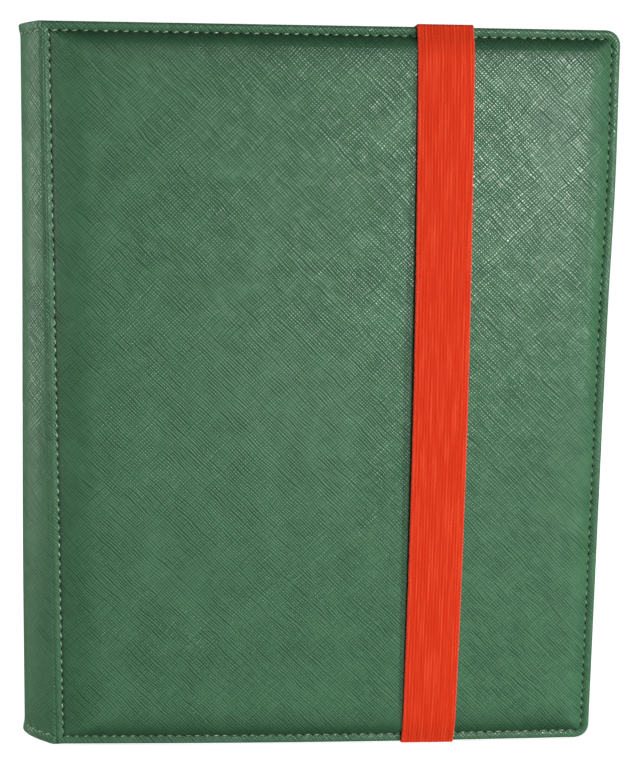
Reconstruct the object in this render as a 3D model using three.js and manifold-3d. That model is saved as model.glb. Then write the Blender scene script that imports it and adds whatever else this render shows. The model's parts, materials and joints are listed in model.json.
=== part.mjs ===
// Trading card binder: padded leatherette covers round a hollow-backed spine, twenty pocket
// pages that turn on staggered roots, and an elastic strap that holds the covers shut.
//
// Frame: millimetres, +Z up. The binder stands closed on its bottom edge. X runs from the
// spine (-X) to the fore edge (+X), Y from the front cover (-Y) to the back cover (+Y).
// Shapes are drawn from a drawing origin at the foot of the front hinge crease, on the
// front cover's outer border, and the last lines move the origin to the base's centre.

import * as THREE from 'three';
import Module from 'manifold-3d';
import { mergeVertices } from 'three/addons/utils/BufferGeometryUtils.js';

// ---------------------------------------------------------------- driving dimensions
const COVER_HEIGHT = 325;
const COVER_WIDTH = 248; // hinge crease to fore edge
const CLOSED_THICKNESS = 32; // front border to back border
const PAD_RISE = 2; // padded centre above the border
const FORE_CORNER_RADIUS = 6.5;
const SPINE_CORNER_RADIUS = 0.8;
const HINGE_GAP = 0.3; // between each cover and the spine

const SPINE_BULGE_HEAD = 12.5; // how far the spine stands out past the crease
const SPINE_BULGE_FOOT = 17;

const PAGE_COUNT = 20;
const PAGE_PITCH = 1.1;
const PAGE_THICKNESS = 0.7;
const PAGE_HEIGHT = 305;
const PAGE_FORE_EDGE = 243; // from the hinge crease
const PAGE_CORNER_RADIUS = 3;
const PAGE_ROOT_APEX = 17; // where the middle pages' roots bend, from the hinge crease

const STRAP_WIDTH = 24.6;
const STRAP_THICKNESS = 1;
const STRAP_CENTRE = 173.4; // from the hinge crease
const STRAP_LIFT = 0.2; // air under the strap
const STRAP_SLOT_INSET = 22; // slot in the back cover, from its top and bottom edges
const STRAP_TAB_LENGTH = 14; // the hidden end, between board and lining

const STITCH_INSET = 4;
const THREAD_WIDTH = 0.6;

// ---------------------------------------------------------------- cover layers
// Depths run inward from the outer border of a cover. Insets run in from its outline.
const SKIN_BORDER = 0.8; // skin thickness, and its inner face at the border
const SKIN_EDGE_WALL = 1;
const SKIN_EDGE_DEPTH = 3.3; // how deep the turned edge reaches
const SLOPE_FOOT = 5.5; // inset where the padding starts to rise
const SLOPE_HEAD = 16; // inset where it is fully raised
const FOAM_FACE = 0.9;
const FOAM_CLEARANCE = 0.25;
const FOAM_SIDE_CLEARANCE = 2;
const BOARD_FACE = 1.15;
const BOARD_THICKNESS = 2;
const BOARD_INSET = 1.4;
const LINING_FACE = 3.6;
const LINING_THICKNESS = 0.6;
const LINING_INSET = 0.8;
const COVER_THICKNESS = LINING_FACE + LINING_THICKNESS;

// ---------------------------------------------------------------- spine layers
const SPINE_SKIN = 0.9;
const SPINE_FOAM = [1.15, 2.9]; // depths below the outer skin surface
const SPINE_STIFFENER = [3.2, 4];
const SPINE_BOARD_FACE = 1.4; // from the hinge crease, inward
const SPINE_BOARD_THICKNESS = 1.9;
const SPINE_PANEL_MARGIN = 5.2; // from the outer border planes to the flat inner panel
const BINDING_FACE = 4.5;
const BINDING_THICKNESS = 1.2;
const ROOTS_FACE = 6;
const ROOT_CLEARANCE = 1.2;
const SPINE_END_INSET = 2;

// ---------------------------------------------------------------- derived values
const MIDDLE = CLOSED_THICKNESS / 2;
const PAGE_FOOT = (COVER_HEIGHT - PAGE_HEIGHT) / 2;
const GROOVE_SIDE = 0.3;
const GROOVE_DEPTH = 0.45;
const THREAD_SINK = 0.2;
const THREAD_PROUD = 0.15;
const GROOVE_END_GAP = 1; // from the spine's stitch grooves to the hinge crease
const THREAD_END_GAP = 1.6;
const CUT = 0.5; // how far a cutting solid runs past the surface it opens
const CORNER_STEPS = 6;
const SPINE_STEPS = 26;
const BISECTIONS = 40;

const wasm = await Module();
wasm.setup();

// ---------------------------------------------------------------- solids
function toSolid(geometry) {
  const bare = new THREE.BufferGeometry();
  bare.setAttribute('position', geometry.getAttribute('position'));
  bare.setIndex(geometry.getIndex());
  const merged = mergeVertices(bare, 1e-4);
  return new wasm.Manifold(new wasm.Mesh({
    numProp: 3,
    vertProperties: new Float32Array(merged.getAttribute('position').array),
    triVerts: new Uint32Array(merged.getIndex().array),
  }));
}

function toGeometry(solid) {
  const mesh = solid.getMesh();
  const geometry = new THREE.BufferGeometry();
  geometry.setAttribute('position', new THREE.BufferAttribute(mesh.vertProperties, 3));
  geometry.setIndex(new THREE.BufferAttribute(mesh.triVerts, 1));
  geometry.computeVertexNormals();
  return geometry;
}

function subtract(geometry, ...cutters) {
  let solid = toSolid(geometry);
  for (const cutter of cutters) solid = solid.subtract(toSolid(cutter));
  return toGeometry(solid);
}

function box(x, y, z) {
  const geometry = new THREE.BoxGeometry(x[1] - x[0], y[1] - y[0], z[1] - z[0]);
  return geometry.translate((x[0] + x[1]) / 2, (y[0] + y[1]) / 2, (z[0] + z[1]) / 2);
}

// Joins convex outlines of equal point counts into one closed solid that faces out.
function loft(rings) {
  const count = rings[0].length;
  const last = (rings.length - 1) * count;
  const triangles = [];
  for (let ring = 0; ring < rings.length - 1; ring++) {
    for (let i = 0; i < count; i++) {
      const a = ring * count + i;
      const b = ring * count + ((i + 1) % count);
      triangles.push(a, b, a + count, b, b + count, a + count);
    }
  }
  for (let i = 1; i < count - 1; i++) {
    triangles.push(0, i + 1, i, last, last + i, last + i + 1);
  }
  const points = rings.flat();
  let volume = 0;
  for (let t = 0; t < triangles.length; t += 3) {
    const [a, b, c] = [0, 1, 2].map((k) => points[triangles[t + k]]);
    volume += a.dot(new THREE.Vector3().crossVectors(b, c));
  }
  if (volume < 0) triangles.reverse();
  const geometry = new THREE.BufferGeometry().setFromPoints(points);
  geometry.setIndex(triangles);
  geometry.computeVertexNormals();
  return geometry;
}

// A rounded rectangle in the XZ plane, with its own radius at the spine and the fore edge.
function outline(left, right, foot, head, spineRadius, foreRadius) {
  const corners = [
    [right - foreRadius, foot + foreRadius, foreRadius, -90],
    [right - foreRadius, head - foreRadius, foreRadius, 0],
    [left + spineRadius, head - spineRadius, spineRadius, 90],
    [left + spineRadius, foot + spineRadius, spineRadius, 180],
  ];
  return corners.flatMap(([x, z, radius, start]) => {
    const arc = [];
    for (let i = 0; i <= CORNER_STEPS; i++) {
      const angle = THREE.MathUtils.degToRad(start + (90 * i) / CORNER_STEPS);
      arc.push([x + radius * Math.cos(angle), z + radius * Math.sin(angle)]);
    }
    return arc;
  });
}

function coverOutline(inset) {
  const foreRadius = Math.max(FORE_CORNER_RADIUS - inset, 2.5);
  return outline(
    HINGE_GAP / 2 + inset, COVER_WIDTH - inset, inset, COVER_HEIGHT - inset,
    Math.max(SPINE_CORNER_RADIUS, inset > SLOPE_FOOT ? 2.5 : 0), foreRadius,
  );
}

// ---------------------------------------------------------------- covers
// side is 'front' or 'back'; layers are [depth, inset] pairs lofted together.
function coverSolid(side, layers) {
  const place = (depth) => (side === 'front' ? depth : CLOSED_THICKNESS - depth);
  return loft(layers.map(([depth, inset]) => coverOutline(inset).map(
    ([x, z]) => new THREE.Vector3(x, place(depth), z),
  )));
}

function stitchRing(side, halfWidth, outer, inner) {
  return subtract(
    coverSolid(side, [[inner, STITCH_INSET - halfWidth], [outer, STITCH_INSET - halfWidth]]),
    coverSolid(side, [[inner + CUT, STITCH_INSET + halfWidth], [outer - CUT, STITCH_INSET + halfWidth]]),
  );
}

function coverSkin(side) {
  const outside = coverSolid(side, [
    [SKIN_EDGE_DEPTH, 0], [0.4, 0], [0, 0.4], [0, SLOPE_FOOT], [-PAD_RISE, SLOPE_HEAD],
  ]);
  const inside = coverSolid(side, [
    [SKIN_EDGE_DEPTH + CUT, SKIN_EDGE_WALL], [SKIN_BORDER, SKIN_EDGE_WALL],
    [SKIN_BORDER, SLOPE_FOOT + CUT], [SKIN_BORDER - PAD_RISE, SLOPE_HEAD + CUT],
  ]);
  const groove = stitchRing(side, THREAD_WIDTH / 2 + GROOVE_SIDE, -CUT, GROOVE_DEPTH);
  return subtract(outside, inside, groove);
}

function coverThread(side) {
  return stitchRing(side, THREAD_WIDTH / 2, -THREAD_PROUD, THREAD_SINK);
}

function coverFoam(side) {
  return coverSolid(side, [
    [FOAM_FACE, SLOPE_FOOT + FOAM_SIDE_CLEARANCE],
    [SKIN_BORDER - PAD_RISE + FOAM_CLEARANCE, SLOPE_HEAD + FOAM_SIDE_CLEARANCE],
  ]);
}

function coverBoard(side) {
  return coverSolid(side, [[BOARD_FACE, BOARD_INSET], [BOARD_FACE + BOARD_THICKNESS, BOARD_INSET]]);
}

function coverLining(side) {
  return coverSolid(side, [[LINING_FACE, LINING_INSET], [COVER_THICKNESS, LINING_INSET]]);
}

// ---------------------------------------------------------------- strap
const STRAP_SPAN = [STRAP_CENTRE - STRAP_WIDTH / 2, STRAP_CENTRE + STRAP_WIDTH / 2];
const STRAP_OFFSET = STRAP_LIFT + STRAP_THICKNESS / 2; // skin to the strap's middle
const STRAP_CLEARANCE = 0.4; // round the strap where it passes through the back cover
const STRAP_END_GAP = 0.1;

// A flat band of the strap's thickness whose middle follows [y, z] points.
function band(points) {
  const path = points.map(([y, z]) => new THREE.Vector2(y, z));
  const half = STRAP_THICKNESS / 2;
  const sides = [-half, half].map((offset) => path.map((point, i) => {
    const before = path[Math.max(i - 1, 0)];
    const after = path[Math.min(i + 1, path.length - 1)];
    const into = (i ? point.clone().sub(before) : after.clone().sub(point)).normalize();
    const away = (i < path.length - 1 ? after.clone().sub(point) : into.clone()).normalize();
    const normal = new THREE.Vector2(-into.y - away.y, into.x + away.x).normalize();
    const mitre = offset / normal.dot(new THREE.Vector2(-into.y, into.x));
    return point.clone().addScaledVector(normal, mitre);
  }));
  const shape = new THREE.Shape([...sides[0], ...sides[1].reverse()]);
  const geometry = new THREE.ExtrudeGeometry(shape, { depth: STRAP_WIDTH, bevelEnabled: false });
  const axes = new THREE.Matrix4().makeBasis(
    new THREE.Vector3(0, 1, 0), new THREE.Vector3(0, 0, 1), new THREE.Vector3(1, 0, 0),
  );
  return geometry.applyMatrix4(axes).translate(STRAP_SPAN[0], 0, 0);
}

// Points over the padding near one edge, as distances out from the cover and in from the edge.
const EDGE_ROUTE = [
  [STRAP_OFFSET, STRAP_END_GAP], [STRAP_OFFSET, SLOPE_FOOT], [PAD_RISE + STRAP_OFFSET, SLOPE_HEAD],
];

function strapFront() {
  const foot = EDGE_ROUTE.map(([out, inset]) => [-out, inset]);
  const head = EDGE_ROUTE.map(([out, inset]) => [-out, COVER_HEIGHT - inset]).reverse();
  return band([...foot, ...head]);
}

// fromEdge turns a distance in from the cover's top or bottom edge into a height.
function strapLeg(fromEdge) {
  const reach = STRAP_LIFT + STRAP_THICKNESS;
  return band([[-reach, fromEdge(-STRAP_OFFSET)], [CLOSED_THICKNESS + reach, fromEdge(-STRAP_OFFSET)]]);
}

const TAB_DEPTH = CLOSED_THICKNESS - LINING_FACE + STRAP_CLEARANCE + STRAP_THICKNESS / 2;

function strapEnd(fromEdge) {
  const route = [
    ...EDGE_ROUTE.map(([out, inset]) => [CLOSED_THICKNESS + out, fromEdge(inset)]),
    [CLOSED_THICKNESS + PAD_RISE + STRAP_OFFSET, fromEdge(STRAP_SLOT_INSET)],
    [TAB_DEPTH, fromEdge(STRAP_SLOT_INSET)],
    [TAB_DEPTH, fromEdge(STRAP_SLOT_INSET + STRAP_TAB_LENGTH)],
  ];
  return band(route);
}

// The slot through the back cover and, on the board only, the recess for the hidden end.
function strapCutters(fromEdge, withRecess) {
  const half = STRAP_THICKNESS / 2 + STRAP_CLEARANCE;
  const across = [STRAP_SPAN[0] - STRAP_CLEARANCE, STRAP_SPAN[1] + STRAP_CLEARANCE];
  const heights = (a, b) => [fromEdge(a), fromEdge(b)].sort((p, q) => p - q);
  const inner = CLOSED_THICKNESS - COVER_THICKNESS;
  const outer = CLOSED_THICKNESS + PAD_RISE + CUT;
  const slot = box(across, [inner, outer], heights(STRAP_SLOT_INSET - half, STRAP_SLOT_INSET + half));
  if (!withRecess) return [slot];
  const end = STRAP_SLOT_INSET + STRAP_TAB_LENGTH + STRAP_CLEARANCE;
  return [slot, box(across, [inner, TAB_DEPTH + half], heights(STRAP_SLOT_INSET - half, end))];
}

const FROM_TOP = (inset) => COVER_HEIGHT - inset;
const FROM_BOTTOM = (inset) => inset;

function slotted(geometry, withRecess) {
  return subtract(
    geometry, ...strapCutters(FROM_TOP, withRecess), ...strapCutters(FROM_BOTTOM, withRecess),
  );
}

// ---------------------------------------------------------------- spine
const BULGE_MEAN = (SPINE_BULGE_HEAD + SPINE_BULGE_FOOT) / 2;

// A point at a depth below the parabolic spine surface; u runs from -1 (front) to 1 (back).
function spinePoint(u, depth) {
  const point = new THREE.Vector2(-BULGE_MEAN * (1 - u * u), MIDDLE * (1 + u));
  const inward = new THREE.Vector2(MIDDLE, -2 * BULGE_MEAN * u).normalize();
  return point.addScaledVector(inward, depth);
}

// The u at which the surface at this depth comes within a gap of the hinge crease.
function spineLimit(depth, gap) {
  let [low, high] = [0, 1];
  for (let i = 0; i < BISECTIONS; i++) {
    const u = (low + high) / 2;
    if (spinePoint(u, depth).x < -gap) low = u;
    else high = u;
  }
  return low;
}

// A curved layer between two depths and two heights, fuller towards the foot of the spine.
function spineLayer(outer, inner, foot, head, gap = HINGE_GAP / 2) {
  const curve = (depth) => {
    const limit = spineLimit(depth, gap);
    const points = [];
    for (let i = 0; i <= SPINE_STEPS; i++) {
      points.push(spinePoint(limit * ((2 * i) / SPINE_STEPS - 1), depth));
    }
    return points;
  };
  const shape = new THREE.Shape([...curve(outer), ...curve(inner).reverse()]);
  const geometry = new THREE.ExtrudeGeometry(shape, { depth: head - foot, bevelEnabled: false });
  geometry.translate(0, 0, foot);
  const position = geometry.getAttribute('position');
  for (let i = 0; i < position.count; i++) {
    const share = position.getZ(i) / COVER_HEIGHT;
    const bulge = THREE.MathUtils.lerp(SPINE_BULGE_FOOT, SPINE_BULGE_HEAD, share);
    position.setX(i, (position.getX(i) * bulge) / BULGE_MEAN);
  }
  return geometry;
}

function spineGroove(height) {
  const half = THREAD_WIDTH / 2 + GROOVE_SIDE;
  return spineLayer(-CUT, GROOVE_DEPTH, height - half, height + half, GROOVE_END_GAP);
}

function spineThread(height) {
  const half = THREAD_WIDTH / 2;
  return spineLayer(-THREAD_PROUD, THREAD_SINK, height - half, height + half, THREAD_END_GAP);
}

function spineSkin() {
  const grooves = [STITCH_INSET, COVER_HEIGHT - STITCH_INSET].map(spineGroove);
  return subtract(spineLayer(0, SPINE_SKIN, 0, COVER_HEIGHT), ...grooves);
}

function spinePanel(face, thickness, margin, endInset) {
  return box(
    [face, face + thickness], [margin, CLOSED_THICKNESS - margin], [endInset, COVER_HEIGHT - endInset],
  );
}

// The bundled page roots: a wedge that fills the space between the binding and the pages.
function pageRoots() {
  const apex = PAGE_ROOT_APEX - ROOT_CLEARANCE;
  const half = apex - ROOTS_FACE;
  const shape = new THREE.Shape([
    new THREE.Vector2(ROOTS_FACE, MIDDLE - half),
    new THREE.Vector2(apex, MIDDLE),
    new THREE.Vector2(ROOTS_FACE, MIDDLE + half),
  ]);
  const geometry = new THREE.ExtrudeGeometry(shape, { depth: PAGE_HEIGHT, bevelEnabled: false });
  return geometry.translate(0, 0, PAGE_FOOT);
}

// ---------------------------------------------------------------- pages
// Each page turns where its root bends; the bends step back from the middle at 45 degrees.
function pageOffset(index) {
  return (index - (PAGE_COUNT - 1) / 2) * PAGE_PITCH;
}

function page(index) {
  const offset = pageOffset(index);
  const middle = MIDDLE + offset;
  const ring = outline(
    PAGE_ROOT_APEX - Math.abs(offset), PAGE_FORE_EDGE, PAGE_FOOT, PAGE_FOOT + PAGE_HEIGHT,
    SPINE_CORNER_RADIUS, PAGE_CORNER_RADIUS,
  );
  return loft([-PAGE_THICKNESS / 2, PAGE_THICKNESS / 2].map(
    (side) => ring.map(([x, z]) => new THREE.Vector3(x, middle + side, z)),
  ));
}

// ---------------------------------------------------------------- assembly
const FINISHES = {
  leatherette: { color: 0x3e7350, roughness: 0.45, metalness: 0 },
  foam: { color: 0xd8d6cc, roughness: 0.95, metalness: 0 },
  board: { color: 0x8d8779, roughness: 0.9, metalness: 0 },
  lining: { color: 0x1c2420, roughness: 0.85, metalness: 0 },
  thread: { color: 0x9fb98c, roughness: 0.8, metalness: 0 },
  elastic: { color: 0xe5391b, roughness: 0.75, metalness: 0 },
  binding: { color: 0x15181a, roughness: 0.6, metalness: 0 },
  film: { color: 0x23272b, roughness: 0.3, metalness: 0 },
};

const binder = new THREE.Group();

function add(parent, name, finish, geometry) {
  const mesh = new THREE.Mesh(geometry, new THREE.MeshStandardMaterial(FINISHES[finish]));
  mesh.name = name;
  parent.add(mesh);
}

function addCover(side) {
  const cover = new THREE.Group();
  const open = side === 'back' ? slotted : (geometry) => geometry;
  add(cover, `${side}_cover_skin`, 'leatherette', open(coverSkin(side), false));
  add(cover, `${side}_cover_foam`, 'foam', open(coverFoam(side), false));
  add(cover, `${side}_cover_board`, 'board', open(coverBoard(side), true));
  add(cover, `${side}_cover_lining`, 'lining', coverLining(side));
  add(cover, `${side}_cover_thread`, 'thread', coverThread(side));
  binder.add(cover);
}

function addSpine() {
  const spine = new THREE.Group();
  add(spine, 'spine_skin', 'leatherette', spineSkin());
  add(spine, 'spine_foam', 'foam',
    spineLayer(...SPINE_FOAM, SPINE_END_INSET, COVER_HEIGHT - SPINE_END_INSET));
  add(spine, 'spine_stiffener', 'board',
    spineLayer(...SPINE_STIFFENER, SPINE_END_INSET, COVER_HEIGHT - SPINE_END_INSET));
  add(spine, 'spine_board', 'board',
    spinePanel(SPINE_BOARD_FACE, SPINE_BOARD_THICKNESS, SPINE_PANEL_MARGIN, SPINE_END_INSET));
  add(spine, 'spine_lining', 'lining',
    spinePanel(LINING_FACE, LINING_THICKNESS, SPINE_PANEL_MARGIN, LINING_INSET));
  add(spine, 'spine_head_thread', 'thread', spineThread(COVER_HEIGHT - STITCH_INSET));
  add(spine, 'spine_foot_thread', 'thread', spineThread(STITCH_INSET));
  add(spine, 'binding_strip', 'binding',
    spinePanel(BINDING_FACE, BINDING_THICKNESS, SPINE_PANEL_MARGIN, PAGE_FOOT));
  add(spine, 'page_roots', 'film', pageRoots());
  binder.add(spine);
}

function addPages() {
  const block = new THREE.Group();
  for (let index = 0; index < PAGE_COUNT; index++) {
    add(block, `page_${String(index + 1).padStart(2, '0')}`, 'film', page(index));
  }
  binder.add(block);
}

function addStrap() {
  const strap = new THREE.Group();
  add(strap, 'strap_front', 'elastic', strapFront());
  add(strap, 'strap_top_leg', 'elastic', strapLeg(FROM_TOP));
  add(strap, 'strap_bottom_leg', 'elastic', strapLeg(FROM_BOTTOM));
  add(strap, 'strap_top_end', 'elastic', strapEnd(FROM_TOP));
  add(strap, 'strap_bottom_end', 'elastic', strapEnd(FROM_BOTTOM));
  binder.add(strap);
}

addCover('front');
addCover('back');
addSpine();
addPages();
addStrap();

// The origin goes to the centre of the base, under the whole binder.
const extent = new THREE.Box3().setFromObject(binder);
const centre = extent.getCenter(new THREE.Vector3());
binder.position.set(-centre.x, -centre.y, -extent.min.z);

export default binder;
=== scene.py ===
import json
import math
import random

import bmesh
import bpy
import numpy as np
from mathutils import Matrix, Vector, noise


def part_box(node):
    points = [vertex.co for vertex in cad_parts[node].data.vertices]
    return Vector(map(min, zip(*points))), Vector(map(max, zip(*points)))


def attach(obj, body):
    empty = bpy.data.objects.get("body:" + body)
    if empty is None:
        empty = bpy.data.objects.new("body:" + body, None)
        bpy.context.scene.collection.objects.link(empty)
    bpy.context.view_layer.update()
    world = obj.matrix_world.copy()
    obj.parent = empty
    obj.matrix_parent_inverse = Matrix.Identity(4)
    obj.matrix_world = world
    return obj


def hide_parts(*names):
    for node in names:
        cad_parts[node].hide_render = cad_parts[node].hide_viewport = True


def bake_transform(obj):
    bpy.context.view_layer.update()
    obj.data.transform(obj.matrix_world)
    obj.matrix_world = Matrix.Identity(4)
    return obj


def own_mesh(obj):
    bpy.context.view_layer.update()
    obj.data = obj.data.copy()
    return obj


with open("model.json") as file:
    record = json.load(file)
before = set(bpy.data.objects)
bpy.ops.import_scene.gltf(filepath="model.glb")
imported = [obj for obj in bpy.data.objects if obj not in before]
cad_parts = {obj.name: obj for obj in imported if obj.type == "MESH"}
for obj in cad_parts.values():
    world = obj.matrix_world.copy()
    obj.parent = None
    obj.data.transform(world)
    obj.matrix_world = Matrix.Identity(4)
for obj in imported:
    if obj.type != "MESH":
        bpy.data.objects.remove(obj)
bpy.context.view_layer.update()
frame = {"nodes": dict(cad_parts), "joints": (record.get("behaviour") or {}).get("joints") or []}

# ---- sizes from the frame
MM = 0.001
JOINTS = {joint["name"]: joint for joint in frame["joints"]}
FRONT_AXIS = Vector(JOINTS["front_cover_hinge"]["pos_m"])
BACK_AXIS = Vector(JOINTS["spine_hinge"]["pos_m"])
SKIN_LOW, SKIN_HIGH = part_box("front_cover_skin")
ORIGIN = np.array([FRONT_AXIS.x, FRONT_AXIS.y, SKIN_LOW.z])
WIDTH = (SKIN_HIGH.x - FRONT_AXIS.x) / MM
HEIGHT = (SKIN_HIGH.z - SKIN_LOW.z) / MM
THICKNESS = (BACK_AXIS.y - FRONT_AXIS.y) / MM
MIDDLE = THICKNESS / 2
PAD_SWELL = 2.0  # how far the stuffed leather domes past the model
PAD_RISE = (FRONT_AXIS.y - SKIN_LOW.y) / MM + PAD_SWELL
BULGE_FOOT = (FRONT_AXIS.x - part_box("spine_skin")[0].x) / MM
BULGE_HEAD = (FRONT_AXIS.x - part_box("spine_head_thread")[0].x) / MM
BULGE_EASE = 1.4  # how much flatter the leather lies over the upper spine
PAGE_COUNT = sum(name.startswith("page_") and name != "page_roots" for name in frame["nodes"])

# ---- leather sizes
CREASE_X = 0.0  # the groove's bottom line
CREASE_DEPTH = 0.9
ROLL = 1.5  # radius of the turned edge
STITCH_INSET = 4
STITCH_DIP = 0.45
SEAM_DEPTH, SEAM_WIDTH = 0.25, 0.6  # the line the stitches press
SPINE_SEAM_DEPTH = 0.2
PUCKER, SPINE_PUCKER = 0.2, 0.16  # how deep the leather is drawn at each needle hole
PUCKER_WIDTH, SPINE_PUCKER_WIDTH = 0.55, 0.5
HINGE_SHARE = 0.74  # the stitching runs closer to the hinge than to the free edges
HINGE_SPREAD = 1.7  # and the padding beside it climbs more gently
FORE_STAND = 1.0  # how far the turned leather stands past the board's fore edge
FORE_BOW = 0.8  # how much further it stands near the head
BOW_CENTRE, BOW_WIDTH = 0.80, 42  # where: a share of the height, and millimetres
FOOT_SAG = 0.85  # how far the foot edge sags between its ends
SAG_REACH = 50
STEEP_SOFTNESS = 10  # how gradually the steep head and foot turn into the gentler sides
CLIMB_POWER, STEEP_POWER = 1.8, 1.7  # how the padding climbs, and what steep edges add
PAD_HEAD = 14  # inset where the padding is fully raised
SHADE_REACH = 16  # how far in from the stitches the painted shade reaches
BORDER_SHADE, SIDE_SHADE = 0.35, 0.15  # the painted shade's least shares, outside the stitches and at the sides
FORE_RADIUS = 6.5
LEAST_RADIUS = 2
STITCH_STEPS = 6  # mesh columns to a stitch
STITCHES_ACROSS = 56
STITCHES_UP = 75
FLAT_INSET = 20  # inside this the panel is one coarse grid
SPINE_ROLL = 0.45
SPINE_FLARE = 0.75  # how far the spine's head and foot stand out
SPINE_FOOT_ARC = 1.7  # how far the spine's foot is cut up at the middle
SPINE_HEAD_ARC = 0.8
SPINE_FLARE_REACH = 6.5


def to_frame(points):
    return np.asarray(points, float) * MM + ORIGIN


def drawing_point(x, y, z=0):
    return Vector(to_frame([x, y, z]))


def box_mm(node):
    low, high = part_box(node)
    return (np.array(low) - ORIGIN) / MM, (np.array(high) - ORIGIN) / MM


def smooth(value):
    value = np.clip(value, 0, 1)
    return value * value * (3 - 2 * value)


def bell(distance, width):
    return np.exp(-((distance / width) ** 2))


def together(*parts):
    """Coordinates side by side on a last axis, each stretched to the shape of them all."""
    return np.stack(np.broadcast_arrays(*parts), -1)


def travel(line):
    """How far along a line each of its points is."""
    return np.concatenate([[0], np.cumsum(np.linalg.norm(np.diff(line, axis=0), axis=1))])


def add_object(name, data):
    made = bpy.data.objects.new(name, data)
    bpy.context.scene.collection.objects.link(made)
    return made


# ---- mesh building
WELD = 0.002  # points this close become one


class Surface:
    """Collects points with their flat coordinates and marks, and welds them into one mesh.
    A mark is a number for each point that the materials read: the leather's rubbed rims with
    painted glints and its painted shade along the stitching, the threads' paleness, the strap's
    edges and the pages' welds."""

    def __init__(self):
        self.points, self.flats, self.wears, self.faces, self.slots = [], [], [], [], []
        self.count = 0

    def add_points(self, points, flats, wear=0.0):
        points = np.asarray(points, float).reshape(-1, 3)
        self.points.append(points)
        self.flats.append(np.asarray(flats, float).reshape(-1, 2))
        self.wears.append(np.broadcast_to(np.ravel(wear), len(points)))
        self.count += len(points)
        return self.count - len(points)

    def add_faces(self, faces, slot=0):
        self.faces.extend(faces)
        self.slots.extend([slot] * len(faces))

    def grid(self, points, flats, wear=0.0, closed=False, flip=False, slot=0):
        """A rows x columns grid. closed joins the last column to the first."""
        rows, columns = points.shape[:2]
        start = self.add_points(points, flats, wear)
        index = np.arange(rows * columns).reshape(rows, columns) + start
        after = np.roll(index, -1, axis=1) if closed else index[:, 1:]
        here = index if closed else index[:, :-1]
        quads = np.stack([here[:-1], after[:-1], after[1:], here[1:]], axis=-1).reshape(-1, 4)
        if flip:
            quads = quads[:, ::-1]
        self.add_faces(quads.tolist(), slot)
        return index

    def make(self, name, materials):
        mesh = bpy.data.meshes.new(name)
        mesh.from_pydata(to_frame(np.concatenate(self.points)).tolist(), [], self.faces)
        corner = np.zeros(len(mesh.loops), np.int32)
        mesh.loops.foreach_get("vertex_index", corner)
        flats = np.concatenate(self.flats)[corner] * MM
        mesh.uv_layers.new(name="flat").data.foreach_set("uv", flats.astype(np.float32).ravel())
        wear = mesh.attributes.new("wear", "FLOAT", "POINT")
        wear.data.foreach_set("value", np.concatenate(self.wears).astype(np.float32))
        mesh.polygons.foreach_set("material_index", np.array(self.slots, np.int32))
        for material in materials:
            mesh.materials.append(material)
        work = bmesh.new()
        work.from_mesh(mesh)
        bmesh.ops.remove_doubles(work, verts=work.verts, dist=WELD * MM)
        bmesh.ops.dissolve_degenerate(work, edges=work.edges, dist=WELD * MM / 4)
        work.to_mesh(mesh)
        work.free()
        mesh.polygons.foreach_set("use_smooth", np.ones(len(mesh.polygons), bool))
        mesh.update()
        return add_object(name, mesh)


# ---- camera and lights
CAMERA_YAW = 0.0578
CAMERA_PITCH = 0.1615
CAMERA_ROLL = 0.0117
CAMERA_AIM = (118.76, 0, 171.0)
CAMERA_DISTANCE = 597.8
CAMERA_LENS = 63.42


def make_camera():
    forward = Vector((math.sin(CAMERA_YAW) * math.cos(CAMERA_PITCH),
                      math.cos(CAMERA_YAW) * math.cos(CAMERA_PITCH),
                      -math.sin(CAMERA_PITCH)))
    level = Vector((math.cos(CAMERA_YAW), -math.sin(CAMERA_YAW), 0))
    upright = level.cross(forward)
    right = level * math.cos(CAMERA_ROLL) + upright * math.sin(CAMERA_ROLL)
    up = upright * math.cos(CAMERA_ROLL) - level * math.sin(CAMERA_ROLL)
    place = drawing_point(*CAMERA_AIM) - forward * CAMERA_DISTANCE * MM
    lens = bpy.data.cameras.new("camera")
    lens.lens = CAMERA_LENS
    lens.sensor_width = 36
    lens.clip_start = 0.01
    camera = add_object("camera", lens)
    camera.matrix_world = Matrix.Translation(place) @ Matrix(
        (right, up, -forward)).transposed().to_4x4()
    bpy.context.scene.camera = camera


def area_light(name, place, aim, size, power, colour=(1, 1, 1)):
    lamp = bpy.data.lights.new(name, "AREA")
    lamp.shape = "RECTANGLE"
    lamp.size, lamp.size_y = size
    lamp.energy = power
    lamp.color = colour
    light = add_object(name, lamp)
    light.location = place
    light.rotation_euler = (Vector(aim) - Vector(place)).to_track_quat("-Z", "Y").to_euler()
    return light


def make_lights():
    """Some lights only give the sheen and some only the shading, so each is placed freely."""
    centre = (0.0, 0, 0.16)
    for light in (area_light("softbox", (0.50, -1.50, 0.36), (0.10, 0, 0.26), (0.34, 0.40), 17),
                  area_light("right_sheen", (1.30, -0.90, 0.12), centre, (0.42, 0.30), 6),
                  area_light("left_sheen", (-1.40, -0.10, 0.22), centre, (0.4, 0.9), 9)):
        light.visible_diffuse = False
    for light in (area_light("front_key", (0.35, -1.30, 0.09), centre, (0.5, 0.14), 10.5),
                  area_light("right_key", (1.30, -0.90, 0.12), centre, (0.20, 0.20), 17,
                             (1, 0.98, 0.95)),
                  area_light("left_fill", (-1.40, 0.20, 0.15), centre, (0.6, 0.8), 26,
                             (1, 0.90, 0.86))):
        light.visible_glossy = False
    area_light("back_fill", (-0.1, 1.7, 0.30), centre, (1.2, 0.8), 12)
    area_light("top_fill", (0.2, 1.5, 2.0), centre, (1.6, 1.2), 3)


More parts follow.
